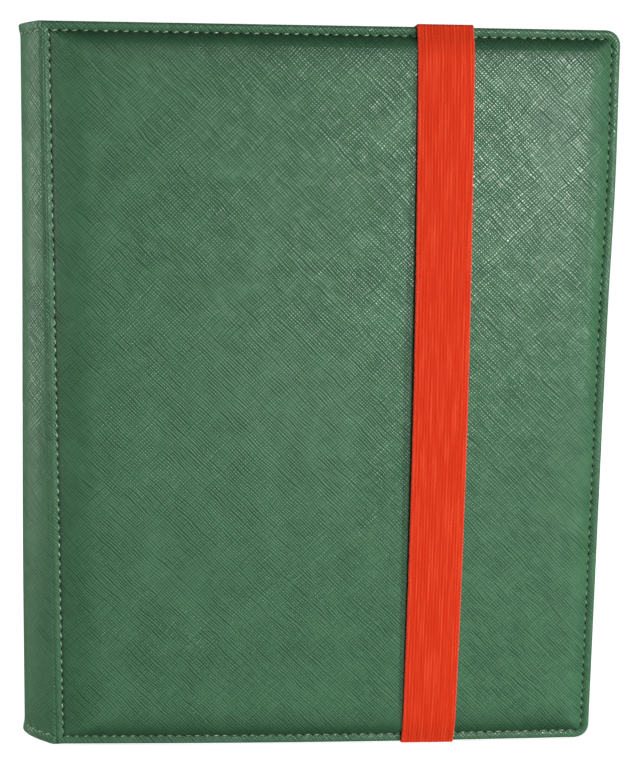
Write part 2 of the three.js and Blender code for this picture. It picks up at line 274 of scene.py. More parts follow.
# ---- shader helper
class Shader:
    """A short way to write a node tree. Values are sockets, numbers or tuples."""

    def __init__(self, name):
        self.material = bpy.data.materials.new(name)
        self.material.use_nodes = True
        self.tree = self.material.node_tree
        self.surface = self.tree.nodes["Principled BSDF"]

    def put(self, socket, value):
        if isinstance(value, bpy.types.NodeSocket):
            self.tree.links.new(value, socket)
        else:
            socket.default_value = value

    def add(self, kind, inputs=(), output=0, **settings):
        node = self.tree.nodes.new("ShaderNode" + kind)
        for key, value in settings.items():
            setattr(node, key, value)
        for key, value in dict(inputs).items():
            self.put(node.inputs[key], value)
        return node.outputs[output]

    def flat(self):
        """The piece's flat coordinates, in metres."""
        return self.add("UVMap", uv_map="flat")

    def wear(self):
        return self.add("Attribute", output=2, attribute_name="wear")

    def math(self, operation, a, b=None, c=None, clamp=False):
        values = {index: value for index, value in enumerate((a, b, c)) if value is not None}
        return self.add("Math", values, operation=operation, use_clamp=clamp)

    def times(self, a, b, clamp=False):
        return self.math("MULTIPLY", a, b, clamp=clamp)

    def inverse(self, value):
        return self.math("SUBTRACT", 1.0, value)

    def solid_place(self):
        """Object coordinates, for the nodes that keep their CAD mesh."""
        return self.add("TexCoord", output=3)

    def scaled(self, vector, x, y, shift=(0, 0, 0)):
        return self.add("Mapping", {"Vector": vector, "Location": shift, "Scale": (x, y, 1)})

    def turned(self, vector, angle):
        return self.add("Mapping", {"Vector": vector, "Rotation": (0, 0, angle)})

    def axes(self, vector):
        return [self.add("SeparateXYZ", {"Vector": vector}, output=axis) for axis in (0, 1)]

    def sine(self, turns):
        return self.math("SINE", self.times(turns, math.tau))

    def noise(self, vector, scale, detail=2.0):
        return self.add("TexNoise", {"Vector": vector, "Scale": scale, "Detail": detail})

    def range(self, value, low, high, to_low=0.0, to_high=1.0):
        return self.add("MapRange", {"Value": value, "From Min": low, "From Max": high,
                                     "To Min": to_low, "To Max": to_high},
                        interpolation_type="SMOOTHSTEP")

    def mix(self, factor, a, b):
        return self.add("Mix", {0: factor, 6: a, 7: b}, output=2, data_type="RGBA")

    def bump(self, height, distance, strength=1.0):
        return self.add("Bump", {"Height": height, "Distance": distance, "Strength": strength})

    def finish(self, **sockets):
        names = {"colour": "Base Color", "roughness": "Roughness", "normal": "Normal",
                 "specular": "Specular IOR Level", "coat": "Coat Weight",
                 "coat_roughness": "Coat Roughness", "coat_normal": "Coat Normal",
                 "sheen": "Sheen Weight"}
        for key, value in sockets.items():
            self.put(self.surface.inputs[names[key]], value)
        return self.material


# ---- materials
HATCH_PITCH = 1.18 * MM
SECOND_SHARE = 0.6  # how strong the second direction of the cross-hatch is, in relief and in its painted groove shade
LEATHER_DARK = (0.023, 0.087, 0.040, 1)
LEATHER_LIGHT = (0.069, 0.194, 0.096, 1)
# rubbed, paler leather at the rims and the crease; the light specks mixed into it are painted
# glints on the rolled edge
LEATHER_WORN_AND_GLINT = (0.105, 0.200, 0.132, 1)
LEATHER_PAINTED_SHADE = (0.008, 0.042, 0.017, 1)  # painted shade along the stitching, strongest beside the head and foot
PAINTED_SHADE_STRENGTH = 0.62


def hatch_grooves(shader, flat, angle, shift):
    """One direction of the cross-hatch: uneven parallel grooves, 1 at the bottom, with gaps."""
    turned = shader.scaled(shader.turned(flat, angle), 1 / HATCH_PITCH, 1 / HATCH_PITCH,
                           (shift, shift, 0))
    wander = shader.noise(turned, 0.10, 1)
    uneven = shader.noise(shader.scaled(turned, 1, 0.05), 0.42, 1)
    across = shader.math("MULTIPLY_ADD", wander, 1.3, shader.axes(turned)[0])
    across = shader.math("MULTIPLY_ADD", uneven, 1.5, across)
    groove = shader.range(shader.sine(across), 0.85, -0.85)
    dashes = shader.noise(shader.scaled(turned, 1, 0.14), 0.95, 1)
    return shader.times(groove, shader.range(dashes, 0.30, 0.60, 0.4, 1.0))


def leatherette():
    """The mark of each point: above 0 rubbed, paler leather whose light specks are painted glints,
    and below 0 painted shade along the stitching.
    """
    shader = Shader("leatherette")
    flat = shader.flat()
    tops, glossy = [], []
    for angle, shift, share in ((45, 0.0, SECOND_SHARE), (-45, 37.0, 1.0)):
        groove = hatch_grooves(shader, flat, math.radians(angle), shift)
        moved = shader.scaled(flat, 1, 1, (shift, angle, 0))
        patches = shader.range(shader.noise(moved, 58), 0.36, 0.60, 0.6 * share, share)
        tops.append(shader.inverse(shader.times(groove, patches)))
        glossy.append(shader.inverse(groove))
    hatch = shader.times(*tops)
    crossings = shader.times(*glossy)
    pores = shader.noise(flat, 3800)
    height = shader.math("MULTIPLY_ADD", pores, 0.10, hatch)
    cloudy = shader.range(shader.noise(flat, 28, 3), 0.3, 0.7, -0.03, 0.03)
    # the grooves are painted darker: partly the grain's own tone, partly painted shade, the -45°
    # grooves darkest, standing in for light from the upper right
    grain_and_groove_shade = shader.mix(shader.math("ADD", hatch, cloudy), LEATHER_DARK, LEATHER_LIGHT)
    # light specks on the rubbed rims: painted glints on the rolled edge, over real rubbing
    glint_specks = shader.range(shader.noise(flat, 1100), 0.5, 0.66)
    rubbed_and_glints = shader.times(shader.wear(), shader.math("MULTIPLY_ADD", glint_specks, 0.35, 0.06), True)
    painted_shade = shader.times(shader.wear(), -PAINTED_SHADE_STRENGTH, True)
    # painted shade: the colour is darkened along the stitching where the mark is below 0
    colour = shader.mix(painted_shade, shader.mix(rubbed_and_glints, grain_and_groove_shade, LEATHER_WORN_AND_GLINT), LEATHER_PAINTED_SHADE)
    roughness = shader.range(shader.noise(flat, 320), 0.3, 0.7, 0.46, 0.56)
    return shader.finish(colour=colour, roughness=roughness, specular=0.3,
                         normal=shader.bump(height, 0.00018), coat_roughness=0.23,
                         coat=shader.range(crossings, 0.35, 0.90, 0.0, 1.0),
                         coat_normal=shader.bump(crossings, 0.00006))


PLY_PITCH = 0.28 * MM


def sewing_thread():
    shader = Shader("sewing_thread")
    flat = shader.flat()
    twisted = shader.scaled(shader.turned(flat, math.radians(38)), 1 / PLY_PITCH, 1 / PLY_PITCH)
    ply = shader.range(shader.sine(shader.axes(twisted)[0]), -0.9, 0.9)
    fuzz = shader.noise(flat, 5200, 3)
    tone = shader.mix(shader.wear(), (0.16, 0.28, 0.14, 1), (0.74, 0.84, 0.62, 1))
    colour = shader.mix(ply, shader.mix(fuzz, (0.08, 0.15, 0.08, 1), tone), tone)
    height = shader.math("MULTIPLY_ADD", fuzz, 0.35, ply)
    return shader.finish(colour=colour, roughness=0.62, sheen=0.25, specular=0.4,
                         normal=shader.bump(height, 0.00007))


# near-black: painted shade inside each needle hole
def needle_hole_shade():
    shader = Shader("needle_hole_shade")
    grain = shader.noise(shader.flat(), 2600)
    colour = shader.mix(grain, (0.0015, 0.0035, 0.002, 1), (0.006, 0.012, 0.007, 1))
    return shader.finish(colour=colour, roughness=0.95, specular=0.05,
                         normal=shader.bump(grain, 0.00004))


RIB_COUNT = 18
STRAP_WIDTH = 24.6
KNIT_PITCH = 0.62 * MM


def elastic():
    shader = Shader("elastic")
    flat = shader.flat()
    across, along = shader.axes(flat)
    rib = shader.times(across, math.tau * RIB_COUNT / (STRAP_WIDTH * MM))
    crest = shader.range(shader.math("COSINE", rib), -1, 0.6)
    slope = shader.math("ABSOLUTE", shader.math("SINE", shader.times(rib, 0.5)))
    slant = shader.math("MULTIPLY_ADD", slope, 0.5, shader.times(along, 1 / KNIT_PITCH))
    knit = shader.range(shader.sine(slant), -0.9, 0.9)
    streaks = shader.noise(shader.scaled(flat, 1, 0.045), 900)
    fibres = shader.noise(shader.scaled(flat, 1, 0.4), 4200)
    # the rib valleys take this darker colour: painted shade between the ribs
    groove = (0.57, 0.018, 0.0035, 1)
    body = shader.mix(shader.range(streaks, 0.42, 0.70), (0.68, 0.035, 0.0060, 1),
                      (0.80, 0.065, 0.019, 1))
    colour = shader.mix(crest, shader.mix(0.5, groove, body), body)
    colour = shader.mix(shader.times(shader.wear(), 0.5), colour, (0.80, 0.10, 0.06, 1))
    height = shader.math("MULTIPLY_ADD", knit, 0.5, shader.times(fibres, 0.6))
    return shader.finish(colour=colour, roughness=0.72, specular=0.12, sheen=0.04,
                         normal=shader.bump(height, 0.00006))


def woven_cloth(name, dark, light, pitch, depth):
    """A plain weave: warp and weft bars that pass over each other in turn."""
    shader = Shader(name)
    flat = shader.flat()
    squares = shader.scaled(flat, 1 / pitch, 1 / pitch)
    warp, weft = (shader.math("ABSOLUTE", shader.math("SINE", shader.times(axis, math.pi)))
                  for axis in shader.axes(squares))
    checker = shader.add("TexChecker", {"Vector": squares, "Scale": 1.0}, output=1)
    over = shader.math("ADD", shader.times(warp, checker),
                       shader.times(weft, shader.inverse(checker)))
    slub = shader.noise(flat, 900, 3)
    cloudy = shader.noise(flat, 25, 3)
    colour = shader.mix(shader.times(over, shader.range(slub, 0.2, 0.8, 0.4, 1.0)),
                        dark, light)
    colour = shader.mix(shader.range(cloudy, 0.3, 0.7, 0.0, 0.35), colour, dark)
    height = shader.math("MULTIPLY_ADD", slub, 0.4, over)
    return shader.finish(colour=colour, roughness=0.8, specular=0.3, sheen=0.2,
                         normal=shader.bump(height, depth))


def greyboard():
    shader = Shader("greyboard")
    place = shader.solid_place()
    fibres = shader.noise(place, 900, 4)
    flecks = shader.range(shader.noise(place, 2600), 0.62, 0.72)
    colour = shader.mix(fibres, (0.19, 0.165, 0.13, 1), (0.34, 0.31, 0.26, 1))
    colour = shader.mix(flecks, colour, (0.08, 0.07, 0.06, 1))
    return shader.finish(colour=colour, roughness=0.9, specular=0.2,
                         normal=shader.bump(fibres, 0.00008))


def soft_foam():
    shader = Shader("soft_foam")
    place = shader.solid_place()
    cells = shader.add("TexVoronoi", {"Vector": place, "Scale": 1600})
    colour = shader.mix(cells, (0.36, 0.35, 0.30, 1), (0.72, 0.71, 0.64, 1))
    return shader.finish(colour=colour, roughness=0.95, specular=0.1,
                         normal=shader.bump(cells, 0.0002))


KNURL_PITCH = 0.8 * MM


def page_film():
    """A matt divider under clear film. The film is rougher and paler where it is welded."""
    shader = Shader("page_film")
    flat = shader.flat()
    weld = shader.wear()
    grain = shader.noise(flat, 1500, 3)
    ripple = shader.noise(shader.scaled(flat, 1, 0.35), 34)
    knurl = shader.scaled(shader.turned(flat, math.radians(45)), 1 / KNURL_PITCH, 1 / KNURL_PITCH)
    dots = shader.add("TexVoronoi", {"Vector": knurl, "Scale": 1.0, "Randomness": 0.0})
    pressed = shader.times(weld, shader.range(dots, 0.25, 0.5))
    colour = shader.mix(grain, (0.010, 0.011, 0.012, 1), (0.026, 0.028, 0.031, 1))
    colour = shader.mix(shader.times(weld, 0.6), colour, (0.075, 0.08, 0.085, 1))
    roughness = shader.range(weld, 0, 1, 0.22, 0.5)
    height = shader.math("MULTIPLY_ADD", pressed, 0.12, ripple)
    return shader.finish(colour=colour, roughness=roughness, specular=0.5, coat=0.6,
                         coat_roughness=0.08, normal=shader.bump(height, 0.0006, 0.8))


FLOOR_GLOW = 0.85


def studio_floor():
    shader = Shader("studio_floor")
    place = shader.solid_place()
    tone = shader.noise(place, 3)
    colour = shader.mix(tone, (0.90, 0.90, 0.90, 1), (0.93, 0.93, 0.93, 1))
    shader.surface.inputs["Emission Color"].default_value = (1, 1, 1, 1)
    shader.surface.inputs["Emission Strength"].default_value = FLOOR_GLOW
    return shader.finish(colour=colour, roughness=0.9, specular=0.1)


# ---- studio
AMBIENT, BACKDROP = 0.09, 1.05
FLOOR_REACH = 900
FLOOR_GAP = 0.02  # keeps the floor just under the strap


def make_studio():
    world = bpy.data.worlds.new("studio")
    bpy.context.scene.world = world
    world.use_nodes = True
    tree = world.node_tree
    tree.nodes.clear()
    output = tree.nodes.new("ShaderNodeOutputWorld")
    mix = tree.nodes.new("ShaderNodeMixShader")
    path = tree.nodes.new("ShaderNodeLightPath")
    tree.links.new(path.outputs["Is Camera Ray"], mix.inputs[0])
    tree.links.new(mix.outputs[0], output.inputs[0])
    for slot, colour, strength in ((1, (0.93, 0.97, 1.0, 1), AMBIENT), (2, (1, 1, 1, 1), BACKDROP)):
        light = tree.nodes.new("ShaderNodeBackground")
        light.inputs["Color"].default_value = colour
        light.inputs["Strength"].default_value = strength
        tree.links.new(light.outputs[0], mix.inputs[slot])
    bpy.context.scene.view_settings.view_transform = "Standard"

    surface = Surface()
    reach = np.linspace(-FLOOR_REACH, FLOOR_REACH, 9)
    xs, ys = np.meshgrid(reach, reach)
    floor_z = -ORIGIN[2] / MM - FLOOR_GAP
    surface.grid(together(xs, ys, floor_z), together(xs, ys))
    floor = surface.make("floor", [studio_floor()])
    floor.visible_diffuse = floor.visible_glossy = False  # it throws no light back on the covers


# ---- cover shape
def edge_depth(inset, steep=0.0):
    """How far the leather lies below the border plane, at an inset from the cover's outline.
    steep is 1 where the padding climbs quickly, along the head and the foot."""
    inset = np.asarray(inset, float)
    over = np.clip(ROLL - inset, 0, ROLL)
    rolled = ROLL - np.sqrt(np.maximum(ROLL ** 2 - over ** 2, 0))
    valley = STITCH_DIP * smooth((inset - ROLL) / (STITCH_INSET - ROLL))
    valley = valley + SEAM_DEPTH * bell(inset - STITCH_INSET, SEAM_WIDTH)
    climb = np.clip((inset - STITCH_INSET) / (PAD_HEAD - STITCH_INSET), 0, 1)
    power = CLIMB_POWER + STEEP_POWER * np.asarray(steep)
    return rolled + valley - (STITCH_DIP + PAD_RISE) * (1 - (1 - climb) ** power)


def edge_wear_and_shade(inset, steep):
    """How rubbed the leather is at the rim, where its specks are painted glints, and below 0 how
    much painted shade lies along the stitches, most beside the head and foot.
    """
    near_seam = BORDER_SHADE * smooth(inset - 0.8) + (1 - BORDER_SHADE) * smooth((inset - 3.0) / 1.2)
    near_seam = near_seam * (1 - smooth((inset - 4.5) / SHADE_REACH))
    return bell(inset - 0.8, 0.75) - (SIDE_SHADE + (1 - SIDE_SHADE) * steep) * near_seam


def hinge_distance(inset):
    """How far from the crease an inset's outline runs."""
    inner = np.clip(inset - STITCH_INSET, 0, None)
    return HINGE_SHARE * (inset - inner) + HINGE_SPREAD * inner


def steepness(outline):
    """1 beside the head and foot edges, 0 beside the others."""
    x, z = outline[:, 0], outline[:, 1]
    beside = np.minimum((x - CREASE_X) / HINGE_SPREAD, WIDTH + FORE_STAND - x)
    return smooth(0.5 + (beside - np.minimum(z, HEIGHT - z)) / STEEP_SOFTNESS)


def ring(inset, steps=STITCH_STEPS):
    """A closed outline at an inset: foot, fore corner, fore edge, corner, head, hinge side."""
    left, right = CREASE_X + hinge_distance(inset), WIDTH + FORE_STAND - inset
    low, high = inset, HEIGHT - inset
    radius = 0.0 if steps == 1 and inset >= FLAT_INSET else max(FORE_RADIUS - inset, LEAST_RADIUS)
    turn = np.linspace(0, math.pi / 2, steps + 1)[:-1]

    def side(start, end, count):
        share = np.linspace(0, 1, count * steps + 1)[:-1, None]
        return np.array(start) * (1 - share) + np.array(end) * share

    def corner(centre, first):
        return together(centre[0] + radius * np.cos(first + turn),
                        centre[1] + radius * np.sin(first + turn))

    return np.concatenate([
        side((left, low), (right - radius, low), STITCHES_ACROSS),
        corner((right - radius, low + radius), -math.pi / 2),
        side((right, low + radius), (right, high - radius), STITCHES_UP),
        corner((right - radius, high - radius), 0.0),
        side((right - radius, high), (left, high), STITCHES_ACROSS),
        side((left, high), (left, low), STITCHES_UP)])


FREE_COARSE = STITCHES_ACROSS * 2 + STITCHES_UP + 2  # coarse steps along the three free edges


def undulation(points):
    """A slow, shallow waviness of the padded panel, in millimetres."""
    return np.array([noise.noise(Vector((x * 0.011, z * 0.009, 4.2))) for x, z in points]) * 0.35


def cover_points(outline, depth, back):
    """Points of a cover's leather over flat ones, with the soft edges' bow and sag and the
    shallower roll beside the crease."""
    x, z = outline[:, 0], outline[:, 1]
    bow = FORE_BOW * bell(z - BOW_CENTRE * HEIGHT, BOW_WIDTH)
    bow = bow * smooth((x - 0.6 * WIDTH) / (0.4 * WIDTH))
    sag = FOOT_SAG * np.sin(math.pi * np.clip(x / WIDTH, 0, 1)) * (1 - smooth(z / SAG_REACH))
    shallow = (1 - CREASE_DEPTH / ROLL) * (1 - smooth((x - CREASE_X) / 2.5))
    y = np.broadcast_to(depth, len(outline))
    y = y - np.clip(y, 0, None) * shallow
    return together(x + bow, THICKNESS - y if back else y, z - sag)


FINE_INSETS = [0, 0.1, 0.3, 0.6, 1.0, 1.5, 2.1, 2.7, 3.2, 3.6, 3.85, 4.0, 4.15, 4.4, 4.8, 5.4,
               6.2, 7.2, 8.4]
COARSE_INSETS = [9.6, 11, 12.5, 14, 16, FLAT_INSET]
TURNED_EDGE = [(0, ROLL), (0, 2.1), (0.04, 2.7), (0.25, 3.2), (0.7, 3.55), (1.4, 3.6),
               (2.4, 3.5), (3.6, 3.4)]  # (inset, depth) round the board's edge


def cover_leather(surface, back):
    """The padded face of one cover, its stitched border and its edges turned to the inside."""
    phase = np.arange(len(ring(0))) % STITCH_STEPS / STITCH_STEPS

    def pucker(inset, outline):
        near_seam = PUCKER * bell(inset - STITCH_INSET, PUCKER_WIDTH)
        return near_seam * (0.5 + 0.5 * np.cos(phase * math.tau))

    def wave(inset, outline):
        return undulation(outline) * smooth((inset - 8) / (FLAT_INSET - 8))

    def band(insets, steps, relief):
        """Rings of points at the insets. relief(inset, outline) adds to their depth."""
        rows, wears = [], []
        for inset in insets:
            outline = ring(inset, steps)
            steep = steepness(outline)
            depth = edge_depth(inset, steep) + relief(inset, outline)
            rows.append(cover_points(outline, depth, back))
            wears.append(edge_wear_and_shade(inset, steep))
        rows = np.array(rows)
        surface.grid(rows, rows[..., [0, 2]], np.array(wears), closed=True, flip=back)
        return rows[-1], wears[-1]

    # From the fine rings to one point for each stitch, as fans of triangles.
    outer, outer_tone_mark = band(FINE_INSETS, STITCH_STEPS, pucker)
    inset = COARSE_INSETS[0]
    steep = steepness(ring(inset, 1))
    inner = cover_points(ring(inset, 1), edge_depth(inset, steep), back)
    first = surface.add_points(outer, outer[:, [0, 2]], outer_tone_mark)
    second = surface.add_points(inner, inner[:, [0, 2]], edge_wear_and_shade(inset, steep))
    faces = []
    half = STITCH_STEPS // 2
    for j in range(len(inner)):
        here, after = second + j, second + (j + 1) % len(inner)
        run = [first + (j * STITCH_STEPS + k) % len(outer) for k in range(STITCH_STEPS + 1)]
        faces += [(run[k], run[k + 1], here) for k in range(half)]
        faces.append((run[half], after, here))
        faces += [(run[k], run[k + 1], after) for k in range(half, STITCH_STEPS)]
    surface.add_faces([f[::-1] if back else f for f in faces])
    band(COARSE_INSETS, 1, wave)

    corner, far = ring(FLAT_INSET, 1)[0], ring(FLAT_INSET, 1)[STITCHES_ACROSS]
    xs, zs = np.meshgrid(np.linspace(corner[0], far[0], STITCHES_ACROSS + 1),
                         np.linspace(FLAT_INSET, HEIGHT - FLAT_INSET, STITCHES_UP + 1))
    outline = together(xs.ravel(), zs.ravel())
    points = cover_points(outline, edge_depth(FLAT_INSET) + undulation(outline), back)
    points = points.reshape(*xs.shape, 3)
    surface.grid(points, points[..., [0, 2]], flip=back)

    # The edge turned round the board on the three free sides.
    free = FREE_COARSE * STITCH_STEPS + 1
    base = ring(0)[:free]
    ahead = np.roll(ring(0), -1, axis=0)[:free] - np.roll(ring(0), 1, axis=0)[:free]
    ahead[0], ahead[-1] = (1, 0), (-1, 0)
    ahead /= np.linalg.norm(ahead, axis=1, keepdims=True)
    outward = together(ahead[:, 1], -ahead[:, 0])
    rows, flats = [], []
    for (inset, depth), travelled in zip(TURNED_EDGE, travel(TURNED_EDGE)):
        rows.append(cover_points(base - outward * inset, depth, back))
        flats.append(base + outward * travelled)
    surface.grid(np.array(rows), np.array(flats), flip=not back)


# ---- spine shape
SPINE_COLUMNS = 72
CREASE_REACH = 1.9  # how far the groove's side reaches over the spine
INNER_SHARE = 0.86  # the inside of the spine shell stops short of the creases
SPINE_ARC_REACH = 45
SPINE_BORDERS = [0, 0.05, 0.15, 0.3, 0.5, 0.8, 1.4, 2.2, 2.9, 3.4, 3.7, 4.0, 4.3, 4.6, 5.2, 6.2,
                 8, 11]
SPINE_TURNED = [(0, 0), (0, 0.8), (0, 2.2), (0.05, 2.9), (0.3, 3.5), (0.9, 4.0), (1.8, 4.2),
                (6, 4.25), (14, 4.25)]  # (inset, depth)


def bulge(z):
    z = np.asarray(z, float)
    share = np.clip(z / HEIGHT, 0, 1)
    return BULGE_FOOT + (BULGE_HEAD - BULGE_FOOT) * share - BULGE_EASE * smooth((z - 60) / 220)


def spine_height(height, u):
    """The spine's head and foot are cut in arcs that meet the covers at the creases."""
    foot = SPINE_FOOT_ARC * (1 - smooth(height / SPINE_ARC_REACH))
    head = SPINE_HEAD_ARC * (1 - smooth((HEIGHT - height) / SPINE_ARC_REACH))
    return height + (1 - u ** 2) * (foot - head)


def spine_point(u, z, depth):
    """A point of the spine shell, depth below its outer surface. u is -1 at the front crease."""
    reach = bulge(z)
    slope = 2 * reach * u
    length = np.hypot(slope, MIDDLE)
    return together(MIDDLE / length * depth - reach * (1 - u ** 2),
                    MIDDLE * (1 + u) - slope / length * depth, z)


def creased_spine_point(u, z, depth):
    """The same, drawn down to the bottom of the groove at each crease."""
    away = (1 - np.abs(u)) * np.hypot(2 * bulge(z), MIDDLE)
    draw = np.clip(1 - away / CREASE_REACH, 0, 1) ** 1.6
    points = spine_point(u, z, depth * (1 - draw))
    points[..., 0] += CREASE_X * draw
    points[..., 1] += CREASE_DEPTH * draw * -np.sign(u)
    return points


def spine_edge_depth(inset):
    """The same as edge_depth for the spine's head and foot, which flare out past the stitches."""
    inset = np.asarray(inset, float)
    over = np.clip(SPINE_ROLL - inset, 0, SPINE_ROLL)
    rolled = SPINE_ROLL - np.sqrt(np.maximum(SPINE_ROLL ** 2 - over ** 2, 0))
    flare = SPINE_FLARE * (1 - smooth(inset / SPINE_FLARE_REACH))
    return rolled - flare + SPINE_SEAM_DEPTH * bell(inset - STITCH_INSET, SEAM_WIDTH)


def spine_columns():
    line = np.linspace(-1, 1, SPINE_COLUMNS + 1)
    return np.sign(line) * (1 - (1 - np.abs(line)) ** 1.15)


def spine_leather(surface):
    """The spine's outside, from crease to crease, turned in at its head and foot."""
    columns = spine_columns()
    borders = np.array(SPINE_BORDERS)
    middle = np.linspace(borders[-1], HEIGHT - borders[-1], 61)[1:-1]
    heights = np.concatenate([borders, middle, HEIGHT - borders[::-1]])
    insets = np.minimum(heights, HEIGHT - heights)[:, None]
    pucker = SPINE_PUCKER * bell(insets - STITCH_INSET, SPINE_PUCKER_WIDTH) * (
        0.5 + 0.5 * np.cos(np.arange(len(columns)) * math.tau / STITCH_STEPS))
    z = spine_height(heights[:, None], columns)
    points = creased_spine_point(columns, z, spine_edge_depth(insets) + pucker)
    around = -travel(creased_spine_point(columns, HEIGHT / 2, 0.0))
    hinge_wear = 0.35 * bell((1 - np.abs(columns)) * 30 - 1.6, 0.8)
    surface.grid(points, together(around, z), np.maximum(bell(insets - 0.8, 0.8), hinge_wear))
    for head in (False, True):
        rows, flats = [], []
        for index, travelled in enumerate(travel(SPINE_TURNED)):
            inset, depth = SPINE_TURNED[index]
            height = spine_height(HEIGHT - inset if head else inset, columns)
            narrow = 1 - (1 - INNER_SHARE) * min(index / 3, 1)
            if index:
                rows.append(spine_point(columns * narrow, height, depth))
            else:
                rows.append(creased_spine_point(columns, height, spine_edge_depth(0)))
            flats.append(together(around, HEIGHT + travelled if head else -travelled))
        surface.grid(np.array(rows), np.array(flats), flip=not head)


# ---- stitching
THREAD_RADIUS = 0.27
THREAD_SINK, THREAD_ARCH = -0.24, 0.42  # the thread's ends and its rise, from the leather
HOLE_RADIUS = 0.48
LEVEL_SPAN, UPRIGHT_SPAN = (0.20, 0.78), (0.25, 0.72)  # the share between holes it covers
# The thread's least and greatest paleness, and its hole's size as a share of HOLE_RADIUS.
PLAIN_STITCH = ((0.2, 0.85), 1.0)
FORE_STITCH = ((0.0, 0.35), 1.2)  # the fore edge's holes are pulled wide
HINGE_STITCH = ((0.6, 1.0), 0.8)


def add_stitch(surface, start, end, out, chance, style=PLAIN_STITCH):
    """One thread from needle hole to needle hole, arched over the leather, with its hole.
    Stitches along X show more thread than upright ones, and no two are quite alike."""
    start, end, out = (np.asarray(v, float) for v in (start, end, out))
    pale, hole_size = style
    along = end - start
    length = np.linalg.norm(along)
    along /= length
    side = np.cross(out, along)
    level = abs(along[2]) < 0.7
    first, last = LEVEL_SPAN if level else UPRIGHT_SPAN
    first += chance.uniform(-0.05, 0.05)
    last += chance.uniform(-0.06, 0.06)
    lean = chance.uniform(0.16, 0.34)
    loose = chance.uniform(0.75, 1.1)
    rows = []
    steps = np.linspace(first, last, 7)
    for share in steps:
        arch = math.sin(math.pi * (share - first) / (last - first))
        centre = (start + along * length * share
                  + side * lean * length * (share - (first + last) / 2)
                  + out * (THREAD_SINK + THREAD_ARCH * arch * loose))
        radius = THREAD_RADIUS * (0.62 + 0.38 * arch)
        turns = np.linspace(0, math.tau, 7)[:-1]
        rows.append([centre + radius * (math.cos(t) * side + math.sin(t) * out) for t in turns])
    rows = np.array(rows)
    flats = together((steps * length)[:, None], np.linspace(0, 1.4, 6))
    surface.grid(rows, flats + start[[0, 2]] * 7, chance.uniform(*pale), closed=True, flip=True)
    # the hole's small cone carries the painted shade of the needle hole
    hole = start + out * 0.03 + side * 0.05
    turns = np.linspace(0, math.tau, 9)[:-1]
    width, length = chance.uniform(0.8, 1.05), chance.uniform(1.0, 1.45)
    radius = HOLE_RADIUS * hole_size
    rim = [hole + radius * (length * math.cos(t) * along + width * math.sin(t) * side)
           for t in turns]
    first = surface.add_points([*rim, hole - out * 0.15], [start[[0, 2]]] * 9)
    surface.add_faces([(first + k, first + (k + 1) % 8, first + 8) for k in range(8)], 1)


def cover_stitches(surface, back):
    chance = random.Random(11)
    depth = edge_depth(STITCH_INSET)
    marks = cover_points(ring(STITCH_INSET), depth, back)[::STITCH_STEPS]
    out = (0, 1, 0) if back else (0, -1, 0)
    for start, end in zip(marks, np.roll(marks, -1, axis=0)):
        style = PLAIN_STITCH
        if start[0] > WIDTH - 2 * STITCH_INSET:
            style = FORE_STITCH
        elif max(start[0], end[0]) < STITCH_INSET:
            style = HINGE_STITCH
        add_stitch(surface, start, end, out, chance, style)
    hinge_row = CREASE_X + STITCH_INSET * HINGE_SHARE
    for z in (STITCH_INSET, HEIGHT - STITCH_INSET):
        start, end = cover_points(np.array([[hinge_row, z], [CREASE_X + 0.7, z]]), depth, back)
        add_stitch(surface, start, end, out, chance)


def spine_stitches(surface, head):
    chance = random.Random(23)
    columns = spine_columns()[STITCH_STEPS // 2::STITCH_STEPS]
    height = spine_height(HEIGHT - STITCH_INSET if head else STITCH_INSET, columns)
    depth = float(spine_edge_depth(STITCH_INSET))
    marks = creased_spine_point(columns, height, depth)
    above = creased_spine_point(columns, height, depth - 1)
    for index in range(len(marks) - 1):
        out = above[index] - marks[index]
        add_stitch(surface, marks[index], marks[index + 1], out / np.linalg.norm(out), chance)


def make_leather(leather):
    surface = Surface()
    cover_leather(surface, back=False)
    spine_leather(surface)
    front = surface.make("leather_front", [leather])
    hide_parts("front_cover_skin", "front_cover_foam", "spine_skin", "spine_foam")
    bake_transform(front)

    surface = Surface()
    cover_leather(surface, back=True)
    columns = np.linspace(0.90, 1, 9)
    zs = np.linspace(0.6, HEIGHT - 0.6, 76)
    under = creased_spine_point(columns, zs[:, None], 0.35)
    surface.grid(under, together(-columns * 20, zs[:, None]))
    back = surface.make("leather_back", [leather])
    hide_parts("back_cover_skin", "back_cover_foam")
    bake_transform(back)


def make_stitching(thread, hole):
    for name, body, sew, far in (("front_cover", "front_cover", cover_stitches, False),
                                 ("back_cover", "back_cover", cover_stitches, True),
                                 ("spine_head", "spine", spine_stitches, True),
                                 ("spine_foot", "spine", spine_stitches, False)):
        surface = Surface()
        sew(surface, far)
        piece = surface.make(f"{name}_stitching", [thread, hole])
        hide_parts(f"{name}_thread")
        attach(piece, body)


# ---- linings
LINING_THICKNESS = 0.4


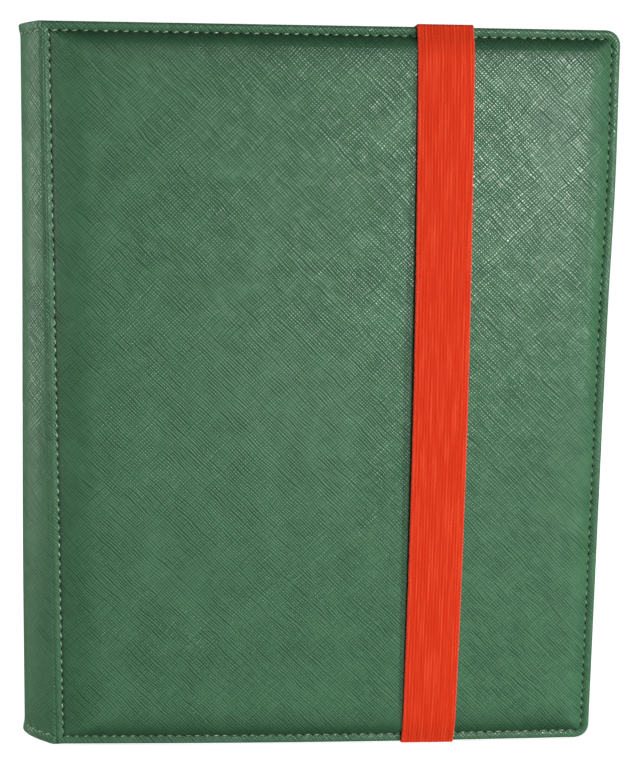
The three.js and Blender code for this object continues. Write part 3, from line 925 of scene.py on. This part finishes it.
def make_lining(name, cloth, back, nodes):
    """One cloth that lines a cover's inside, dips into the hinge and runs up the spine."""
    low, high = box_mm("front_cover_lining")
    level = (low[1] + high[1]) / 2
    shelf = (box_mm("spine_lining")[0][0] + box_mm("spine_lining")[1][0]) / 2
    path = np.array([
        (high[0], level), (high[0] - 7, level), (high[0] - 40, level), (120, level), (50, level),
        (12, level), (4, level), (2.5, level), (1.8, level + 0.25), (1.6, level + 0.6),
        (2.2, level + 0.95), (3.2, level + 1.0), (shelf, level + 1.6), (shelf, 8), (shelf, 12),
        (shelf, MIDDLE)])
    bend = FORE_RADIUS * (1 - np.cos(np.linspace(0, math.pi / 2, 7)))
    zs = np.concatenate([low[2] + bend, np.linspace(12, HEIGHT - 12, 28), high[2] - bend[::-1]])
    over = np.clip(FORE_RADIUS - np.minimum(zs - low[2], high[2] - zs), 0, None)
    cut = FORE_RADIUS - np.sqrt(np.maximum(FORE_RADIUS ** 2 - over ** 2, 0))
    xs = np.minimum(path[:, 0], high[0] - cut[:, None])
    ys = THICKNESS - path[:, 1] if back else path[:, 1]
    travelled = travel(path)
    surface = Surface()
    surface.grid(together(xs, ys, zs[:, None]), together(travelled, zs[:, None]), flip=back)
    piece = surface.make(name, [cloth])
    solid = piece.modifiers.new("thickness", "SOLIDIFY")
    solid.thickness = LINING_THICKNESS * MM
    solid.offset = 0
    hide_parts(*nodes)
    start, end = level + 1.15, level + 0.15
    if back:
        start, end = THICKNESS - start, THICKNESS - end
    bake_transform(piece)


# ---- pages
POCKETS = 3  # across and up
PAGE_MARGIN = 2
POCKET_PITCH = 73
FILM_RISE = 0.2
DIVIDER_HALF = 0.1


def pocket_line(start, pitch, opening):
    """Mesh lines over three pockets: place, puff (0 at a weld, 1 mid-pocket), weld (0 or 1)."""
    shares = [0, 0.014, 0.03, 0.10, 0.3, 0.5, 0.7, 0.90, 0.97, 0.986]
    puffs = [0, 0.10, 0.95 if opening else 0.55, 0.88, 1, 1, 1, 0.88, 0.55, 0.10]
    places, rises, welds = [], [], []
    for pocket in range(POCKETS):
        places += [start + pitch * (pocket + share) for share in shares]
        rises += puffs
        welds += [1 if share in (0, 0.014, 0.986) else 0 for share in shares]
    places.append(start + pitch * POCKETS)
    return np.array(places), np.array(rises + [0]), np.array(welds + [1.0])


def make_page(number, film):
    node = f"page_{number:02d}"
    low, high = box_mm(node)
    joint = JOINTS[f"{node}_turn"]
    turn_x = (joint["pos_m"][0] - ORIGIN[0]) / MM
    level = (joint["pos_m"][1] - ORIGIN[1]) / MM
    root = box_mm("page_roots")[0][0] - 0.1
    across, rise_x, weld_x = pocket_line(high[0] - PAGE_MARGIN - POCKET_PITCH * POCKETS,
                                         POCKET_PITCH, True)
    first = [root, (root + turn_x) / 2 - 1, *(turn_x + step for step in (-2, -1, 0, 1, 2))]
    first = [x for x in first if x < across[0] - 0.5]
    xs = np.concatenate([first, across, [high[0]]])
    rise_x = np.pad(rise_x, (len(first), 1))
    weld_x = np.append(np.pad(weld_x, (len(first), 0)), 1)
    pitch_z = (high[2] - low[2] - 2 * PAGE_MARGIN) / POCKETS
    zs, rise_z, weld_z = pocket_line(low[2] + PAGE_MARGIN, pitch_z, False)
    zs = np.concatenate([[low[2]], zs, [high[2]]])
    rise_z = np.pad(rise_z, 1)
    weld_z = np.pad(weld_z, 1, constant_values=1)
    puff = FILM_RISE * rise_x[None, :] * rise_z[:, None]
    weld = np.maximum(weld_x[None, :], weld_z[:, None])
    weld[:, :len(first)] *= 0.4
    grid_x, grid_z = np.meshgrid(xs, zs)
    surface = Surface()
    for facing in (-1, 1):
        y = level + facing * (DIVIDER_HALF + puff)
        y[0] = y[-1] = y[:, -1] = y[:, 0] = level
        surface.grid(together(grid_x, y, grid_z), together(grid_x, grid_z), weld,
                     flip=facing > 0)
    piece = surface.make(f"pocket_{node}", [film])
    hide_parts(node)
    if number == 1:
        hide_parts("page_roots")
    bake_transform(piece)


def make_binding(webbing):
    """The webbing strip that the page roots are sewn to."""
    low, high = box_mm("binding_strip")
    middle, half = (low + high) / 2, (high - low) / 2
    turns = np.linspace(0, math.tau, 25)[:-1]
    power = 0.35  # a rounded rectangle
    section_x = middle[0] + half[0] * np.sign(np.cos(turns)) * np.abs(np.cos(turns)) ** power
    section_y = middle[1] + half[1] * np.sign(np.sin(turns)) * np.abs(np.sin(turns)) ** power
    zs = np.linspace(low[2], high[2], 40)
    points = together(section_x, section_y, zs[:, None])
    around = travel(together(section_x, section_y))
    surface = Surface()
    surface.grid(points, together(around, zs[:, None]), closed=True)
    for row in (0, -1):
        centre = surface.add_points([[middle[0], middle[1], zs[row]]], [[0, zs[row]]])
        first = surface.add_points(points[row], together(around, zs[row]))
        fan = [(first + k, first + (k + 1) % len(turns), centre) for k in range(len(turns))]
        surface.add_faces([f[::-1] for f in fan] if row == 0 else fan)
    piece = surface.make("binding_strip_webbing", [webbing])
    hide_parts("binding_strip")
    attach(piece, "spine")


# ---- strap
STRAP_HALF = 0.5
RIB_DEPTH = 0.10
RIB_STEPS = 6
STRAP_BOW = 1.4  # how far the ends sit towards the spine
STRAP_FLOAT = 2.0  # how far the strap stands off the padding at mid height
STRAP_REST = 0.75  # from the leather to the middle of the elastic
SLOT_INSET = 22


def strap_section():
    """Across the strap: offsets along X and outward, ribbed outside and plain inside."""
    share = np.linspace(0, 1, RIB_COUNT * RIB_STEPS + 1)
    ribs = STRAP_HALF - RIB_DEPTH * (1 - np.abs(np.sin(math.pi * RIB_COUNT * share)) ** 0.8)
    ribs[:2], ribs[-2:] = (0.1, 0.34), (0.34, 0.1)
    x = (share - 0.5) * STRAP_WIDTH
    back_x = np.linspace(0.5, -0.5, 9) * (STRAP_WIDTH - 0.4)
    outward = np.concatenate([ribs, np.full(9, -STRAP_HALF + 0.1)])
    across = np.concatenate([x, back_x])
    flat_x = STRAP_WIDTH * np.concatenate([share, np.linspace(1, 0, 9)])
    edge = np.concatenate([bell(np.minimum(share, 1 - share) * STRAP_WIDTH, 0.7), np.zeros(9)])
    return across, outward, flat_x, edge


def strap_centre(z):
    low, high = box_mm("strap_front")
    away = np.clip(np.abs(z - HEIGHT / 2) / (HEIGHT / 2), 0, 1)
    return (low[0] + high[0]) / 2 - STRAP_BOW * away ** 1.8


def smooth_path(corners, spacing):
    """A rounded line through the corners, sampled at a spacing, by Catmull-Rom spans."""
    corners = np.array(corners, float)
    padded = np.concatenate([[2 * corners[0] - corners[1]], corners,
                             [2 * corners[-1] - corners[-2]]])
    samples = []
    for a, b, c, d in zip(padded, padded[1:], padded[2:], padded[3:]):
        count = max(2, int(np.linalg.norm(c - b) / spacing))
        for t in np.linspace(0, 1, count + 1)[:-1]:
            samples.append(0.5 * (2 * b + (c - a) * t + (2 * a - 5 * b + 4 * c - d) * t ** 2
                                  + (3 * b - a - 3 * c + d) * t ** 3))
    return np.array(samples + [corners[-1]])


def make_strap_run(name, corners, spacing, material, node, outward_turn):
    """A length of the strap along a (y, z) line. outward_turn is 1 when the outside is on the
    line's left, looking along +X."""
    line = smooth_path(corners, spacing)
    ahead = np.gradient(line, axis=0)
    ahead /= np.linalg.norm(ahead, axis=1, keepdims=True)
    out = together(-ahead[:, 1], ahead[:, 0]) * outward_turn
    across, outward, flat_x, edge = strap_section()
    travelled = travel(line)
    points = together(strap_centre(line[:, 1])[:, None] + across,
                      line[:, :1] + out[:, :1] * outward, line[:, 1:] + out[:, 1:] * outward)
    surface = Surface()
    flip = outward_turn < 0
    index = surface.grid(points, together(flat_x, travelled[:, None]),
                         np.broadcast_to(edge, points.shape[:2]), closed=True, flip=flip)
    for row in (0, -1):
        end = index[row].tolist()
        surface.add_faces([end[::-1] if (row == 0) != flip else end])
    piece = surface.make(name, [material])
    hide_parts(node)
    return piece, travelled[-1]


def strap_climb(level, border, way):
    """Half of the strap's front line, from a leg over the cover's edge to the padding. way is 1
    from the foot and -1 from the head."""
    pad = -PAD_RISE - STRAP_REST
    return [(0.6, level), (-0.3, level + way * 0.2), (-STRAP_REST - 0.1, level + way * 1.3),
            (-STRAP_REST - 0.9, border + way * 3), (pad + 1.7, border + way * 6),
            (pad + 0.7, border + way * 9), (pad + 0.1, border + way * 12),
            (pad - 0.25, border + way * 20), (pad - STRAP_FLOAT * 0.6, border + way * 75)]


def strap_end(level, border, way):
    """The same on the back cover, from a leg to the strap's slot."""
    far, pad = THICKNESS + STRAP_REST, THICKNESS + PAD_RISE
    return [(THICKNESS - 0.2, level), (far, level + way * 0.3), (far + 0.1, level + way * 1.6),
            (far + 0.9, border + way * 3), (pad - 0.9, border + way * 6.2),
            (pad + 0.1, border + way * 9.5), (pad + 0.7, border + way * 15),
            (pad + 0.5, border + way * 21), (pad - 1.5, border + way * SLOT_INSET)]


def make_strap(material):
    sides = []
    for side, cad_side, border, way in (("foot", "bottom", 0, 1), ("head", "top", HEIGHT, -1)):
        low, high = box_mm(f"strap_{cad_side}_leg")
        sides.append((side, f"strap_{cad_side}", ((low[2] + high[2]) / 2, border, way)))
    foot, head = sides[0][2], sides[1][2]
    front_line = [*strap_climb(*foot), (-PAD_RISE - STRAP_REST - STRAP_FLOAT, HEIGHT / 2),
                  *strap_climb(*head)[::-1]]
    front, length = make_strap_run("elastic_strap", front_line, 2.5, material, "strap_front", 1)
    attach(front, "strap")
    for side, node, (level, _, way) in sides:
        line = [(0.6, level), (MIDDLE, level), (THICKNESS - 0.2, level)]
        leg, _ = make_strap_run(f"elastic_{side}_leg", line, 2.5, material, f"{node}_leg", -way)
        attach(leg, "back_cover")
        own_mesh(leg)
    for side, node, place in sides:
        end, _ = make_strap_run(f"elastic_{side}_end", strap_end(*place), 1.2, material,
                                f"{node}_end", -place[2])
        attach(end, "back_cover")


# ---- carried-over CAD nodes
def finish_nodes():
    board, foam = greyboard(), soft_foam()
    for name, node in frame["nodes"].items():
        if node.hide_render:
            continue
        material = foam if "foam" in name else board
        node.data.materials.clear()
        node.data.materials.append(material)


def main():
    make_camera()
    make_lights()
    make_studio()
    thread, hole = sewing_thread(), needle_hole_shade()
    make_leather(leatherette())
    make_stitching(thread, hole)
    cloth = woven_cloth("lining_cloth", (0.004, 0.007, 0.006, 1), (0.024, 0.034, 0.029, 1),
                        0.55 * MM, 0.00012)
    make_lining("lining_front", cloth, False, ["front_cover_lining", "spine_lining"])
    make_lining("lining_back", cloth, True, ["back_cover_lining"])
    webbing = woven_cloth("binding_webbing", (0.004, 0.004, 0.005, 1), (0.022, 0.023, 0.025, 1),
                          0.9 * MM, 0.0002)
    make_binding(webbing)
    film = page_film()
    for number in range(1, PAGE_COUNT + 1):
        make_page(number, film)
    make_strap(elastic())
    finish_nodes()


main()
